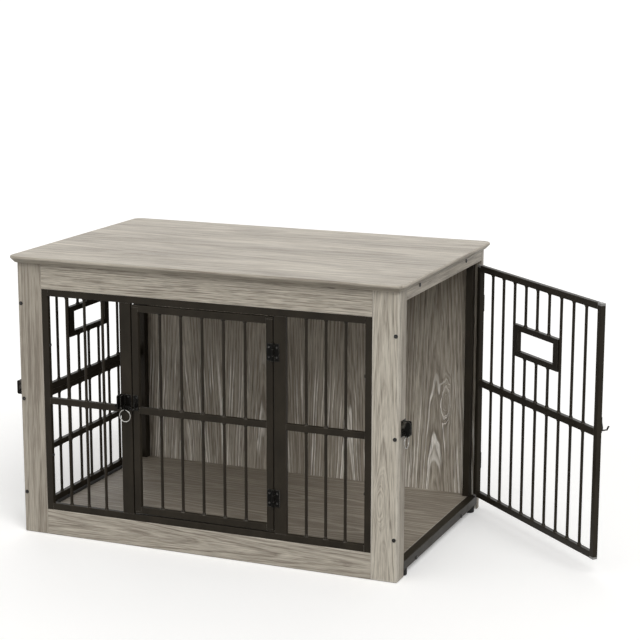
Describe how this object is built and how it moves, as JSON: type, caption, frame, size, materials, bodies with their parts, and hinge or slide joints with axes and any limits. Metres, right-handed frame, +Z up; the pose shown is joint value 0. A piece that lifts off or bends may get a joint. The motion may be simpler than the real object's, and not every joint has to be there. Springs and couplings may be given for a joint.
{
  "type": "pet crate",
  "caption": "Furniture-style pet crate: grey wood carcass with a table top, barred black metal front with a hinged door, barred side doors with slide latches and pull rings",
  "frame": {"origin": "middle of the underside of the front bottom rail, on the floor", "axes": "+X to the crate's right as seen from the front, +Y to the back, +Z up"},
  "size_m": [1.3669, 0.631, 0.666],
  "materials": {
    "top_wood": "pale grey oak grain, satin",
    "grey_wood": "grey oak grain, satin",
    "black_metal": "black powder coat, satin",
    "bright_steel": "bright plated wire",
    "plug_plastic": "moulded plastic, matte"
  },
  "bodies": {
    "frame": {"back_panel": "grey_wood", "back_panel_screws": "black_metal", "base_rail_plugs": "plug_plastic", "base_rail_screws": "black_metal", "batten_screws": "bright_steel", "dowels": "grey_wood", "feet": "plug_plastic", "floor_battens": "grey_wood", "floor_panel": "grey_wood", "front_bottom_rail": "grey_wood", "front_latch_body": "black_metal", "front_left_stile": "grey_wood", "front_panel_bars": "black_metal", "front_panel_frame": "black_metal", "front_panel_screws": "black_metal", "front_right_stile": "grey_wood", "front_top_rail": "grey_wood", "hardware_screws": "black_metal", "hinge_frame_leaves": "black_metal", "hinge_pins": "black_metal", "left_base_rail": "black_metal", "left_latch_body": "black_metal", "left_side_stile": "grey_wood", "left_top_rail": "grey_wood", "post_screws": "black_metal", "rear_posts": "black_metal", "right_base_rail": "black_metal", "right_latch_body": "black_metal", "right_side_stile": "grey_wood", "right_top_rail": "grey_wood", "side_rail_screws": "black_metal", "stile_screws": "black_metal", "top_battens": "grey_wood", "top_board": "top_wood"},
    "front_door": {"front_door_bars": "black_metal", "front_door_catch": "black_metal", "front_door_frame": "black_metal", "front_door_hinge_leaves": "black_metal", "front_door_plugs": "plug_plastic", "front_door_screws": "black_metal"},
    "left_door": {"left_door_bars": "black_metal", "left_door_catch": "black_metal", "left_door_frame": "black_metal", "left_door_hinge_leaves": "black_metal", "left_door_plugs": "plug_plastic", "left_door_screws": "black_metal", "left_door_window": "black_metal"},
    "right_door": {"right_door_bars": "black_metal", "right_door_catch": "black_metal", "right_door_frame": "black_metal", "right_door_hinge_leaves": "black_metal", "right_door_plugs": "plug_plastic", "right_door_screws": "black_metal", "right_door_window": "black_metal"},
    "front_bolt": {"front_latch_bolt": "black_metal"},
    "front_ring": {"front_latch_ring": "bright_steel"},
    "left_bolt": {"left_latch_bolt": "black_metal"},
    "left_ring": {"left_latch_ring": "bright_steel"},
    "right_bolt": {"right_latch_bolt": "black_metal"},
    "right_ring": {"right_latch_ring": "bright_steel"}
  },
  "joints": [
    {"name": "front_door_swing", "type": "hinge", "parent": "frame", "child": "front_door", "pos_m": [0.176, -0.01, 0], "axis": [0, 0, 1], "range_deg": [0, 165]},
    {"name": "front_bolt_slide", "type": "slide", "parent": "frame", "child": "front_bolt", "axis": [1, 0, 0], "range_m": [0, 0.0085]},
    {"name": "front_ring_swing", "type": "hinge", "parent": "front_bolt", "child": "front_ring", "pos_m": [-0.1915, -0.0145, 0.326], "axis": [-1, 0, 0], "range_deg": [0, 90]},
    {"name": "left_door_swing", "type": "hinge", "parent": "frame", "child": "left_door", "pos_m": [-0.4735, 0.566, 0], "axis": [0, 0, -1], "range_deg": [0, 165]},
    {"name": "left_bolt_slide", "type": "slide", "parent": "frame", "child": "left_bolt", "axis": [0, 1, 0], "range_m": [0, 0.0085]},
    {"name": "left_ring_swing", "type": "hinge", "parent": "left_bolt", "child": "left_ring", "pos_m": [-0.478, 0.0235, 0.327], "axis": [0, 1, 0], "range_deg": [0, 90]},
    {"name": "right_door_swing", "type": "hinge", "parent": "frame", "child": "right_door", "pos_m": [0.4735, 0.566, 0], "axis": [0, 0, 1], "range_deg": [-48, 117]},
    {"name": "right_bolt_slide", "type": "slide", "parent": "frame", "child": "right_bolt", "axis": [0, 1, 0], "range_m": [0, 0.0085]},
    {"name": "right_ring_swing", "type": "hinge", "parent": "right_bolt", "child": "right_ring", "pos_m": [0.478, 0.0235, 0.327], "axis": [0, -1, 0], "range_deg": [0, 90]}
  ]
}
